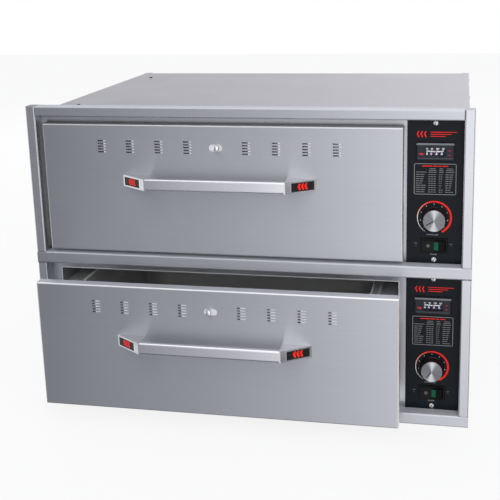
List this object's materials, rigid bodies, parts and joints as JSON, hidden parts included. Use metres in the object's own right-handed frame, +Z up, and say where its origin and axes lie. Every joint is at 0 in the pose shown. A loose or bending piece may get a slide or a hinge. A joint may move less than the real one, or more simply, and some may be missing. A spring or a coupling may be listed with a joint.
{
  "type": "built-in food warming drawer cabinet",
  "caption": "Built-in food warming cabinet: vented drawers with food pans on telescopic slides, each beside a panel with a thermometer, thermostat knob and rocker switch.",
  "frame": {"origin": "middle of the cabinet's width and depth, on the underside of the base", "axes": "+Z up, +X to the user's right as they face the drawers, the front looks along -Y and the drawers open along -Y"},
  "size_m": [0.749, 0.698, 0.537],
  "materials": {
    "frame_steel": "satin",
    "case_steel": "satin",
    "liner_steel": "satin",
    "slide_steel": "satin",
    "front_steel": "satin",
    "carrier_steel": "satin",
    "pan_steel": "satin",
    "handle_steel": "satin",
    "heater_steel": "satin",
    "wool": "matte",
    "gland_plastic": "matte",
    "panel_black": "gloss",
    "gauge_plastic": "gloss",
    "gauge_glass": "gloss",
    "needle_red": "matte",
    "thermostat_body": "matte",
    "knob_plastic": "gloss",
    "knob_aluminium": "satin",
    "switch_plastic": "matte",
    "rocker_plastic": "gloss"
  },
  "bodies": {
    "cabinet": {"frame_bottom_rail": "frame_steel", "frame_middle_rail": "frame_steel", "frame_top_rail": "frame_steel", "stile_lower_left": "frame_steel", "stile_lower_right": "frame_steel", "stile_upper_left": "frame_steel", "stile_upper_right": "frame_steel", "side_panel_left": "case_steel", "side_panel_right": "case_steel", "top_cover": "case_steel", "base_panel": "case_steel", "back_panel": "case_steel", "cord_gland": "gland_plastic", "bay_divider": "case_steel", "control_partition": "case_steel", "face_panel_upper": "frame_steel", "liner_upper": "liner_steel", "insulation_upper": "wool", "heater_upper": "heater_steel", "slide_fixed_upper": "slide_steel", "control_panel_upper": "panel_black", "gauge_case_upper": "gauge_plastic", "gauge_lens_upper": "gauge_glass", "thermostat_upper": "thermostat_body", "switch_body_upper": "switch_plastic", "face_panel_lower": "frame_steel", "liner_lower": "liner_steel", "insulation_lower": "wool", "heater_lower": "heater_steel", "slide_fixed_lower": "slide_steel", "control_panel_lower": "panel_black", "gauge_case_lower": "gauge_plastic", "gauge_lens_lower": "gauge_glass", "thermostat_lower": "thermostat_body", "switch_body_lower": "switch_plastic"},
    "drawer_upper": {"drawer_front_upper": "front_steel", "drawer_carrier_upper": "carrier_steel", "slide_drawer_upper": "slide_steel", "food_pan_upper": "pan_steel", "handle_upper": "handle_steel"},
    "slide_upper": {"slide_middle_upper": "slide_steel"},
    "vent_upper": {"vent_plate_upper": "carrier_steel", "vent_knob_upper": "knob_plastic"},
    "knob_upper": {"thermostat_knob_upper": "knob_plastic", "knob_cap_upper": "knob_aluminium"},
    "rocker_upper": {"rocker_upper": "rocker_plastic"},
    "needle_upper": {"gauge_needle_upper": "needle_red"},
    "drawer_lower": {"drawer_front_lower": "front_steel", "drawer_carrier_lower": "carrier_steel", "slide_drawer_lower": "slide_steel", "food_pan_lower": "pan_steel", "handle_lower": "handle_steel"},
    "slide_lower": {"slide_middle_lower": "slide_steel"},
    "vent_lower": {"vent_plate_lower": "carrier_steel", "vent_knob_lower": "knob_plastic"},
    "knob_lower": {"thermostat_knob_lower": "knob_plastic", "knob_cap_lower": "knob_aluminium"},
    "rocker_lower": {"rocker_lower": "rocker_plastic"},
    "needle_lower": {"gauge_needle_lower": "needle_red"}
  },
  "joints": [
    {"name": "drawer_upper_slide", "type": "slide", "parent": "cabinet", "child": "drawer_upper", "axis": [0, -1, 0], "range_m": [0, 0.44]},
    {"name": "member_upper_slide", "type": "slide", "parent": "cabinet", "child": "slide_upper", "axis": [0, -1, 0], "range_m": [0, 0.22]},
    {"name": "vent_upper_slide", "type": "slide", "parent": "drawer_upper", "child": "vent_upper", "axis": [1, 0, 0], "range_m": [-0.0095, 0.0045]},
    {"name": "thermostat_upper_turn", "type": "hinge", "parent": "cabinet", "child": "knob_upper", "pos_m": [0.313, -0.3, 0.3575], "axis": [0, 1, 0], "range_deg": [-15, 270]},
    {"name": "rocker_upper_tilt", "type": "hinge", "parent": "cabinet", "child": "rocker_upper", "pos_m": [0.313, -0.2784, 0.3105], "axis": [0, 0, 1], "range_deg": [0, 16]},
    {"name": "needle_upper_turn", "type": "hinge", "parent": "cabinet", "child": "needle_upper", "pos_m": [0.313, -0.2795, 0.4759], "axis": [0, 1, 0], "range_deg": [-30, 30], "stiffness_Nm_per_rad": 0.00005},
    {"name": "drawer_lower_slide", "type": "slide", "parent": "cabinet", "child": "drawer_lower", "axis": [0, -1, 0], "range_m": [-0.07, 0.37]},
    {"name": "member_lower_slide", "type": "slide", "parent": "cabinet", "child": "slide_lower", "axis": [0, -1, 0], "range_m": [-0.035, 0.185]},
    {"name": "vent_lower_slide", "type": "slide", "parent": "drawer_lower", "child": "vent_lower", "axis": [1, 0, 0], "range_m": [-0.0047, 0.0093]},
    {"name": "thermostat_lower_turn", "type": "hinge", "parent": "cabinet", "child": "knob_lower", "pos_m": [0.313, -0.3, 0.0975], "axis": [0, 1, 0], "range_deg": [0, 285]},
    {"name": "rocker_lower_tilt", "type": "hinge", "parent": "cabinet", "child": "rocker_lower", "pos_m": [0.313, -0.2784, 0.0505], "axis": [0, 0, 1], "range_deg": [0, 16]},
    {"name": "needle_lower_turn", "type": "hinge", "parent": "cabinet", "child": "needle_lower", "pos_m": [0.313, -0.2795, 0.2159], "axis": [0, 1, 0], "range_deg": [-30, 30], "stiffness_Nm_per_rad": 0.00005}
  ],
  "couplings": [
    {"joint": "member_upper_slide", "follows": "drawer_upper_slide", "ratio": 0.5},
    {"joint": "member_lower_slide", "follows": "drawer_lower_slide", "ratio": 0.5}
  ]
}
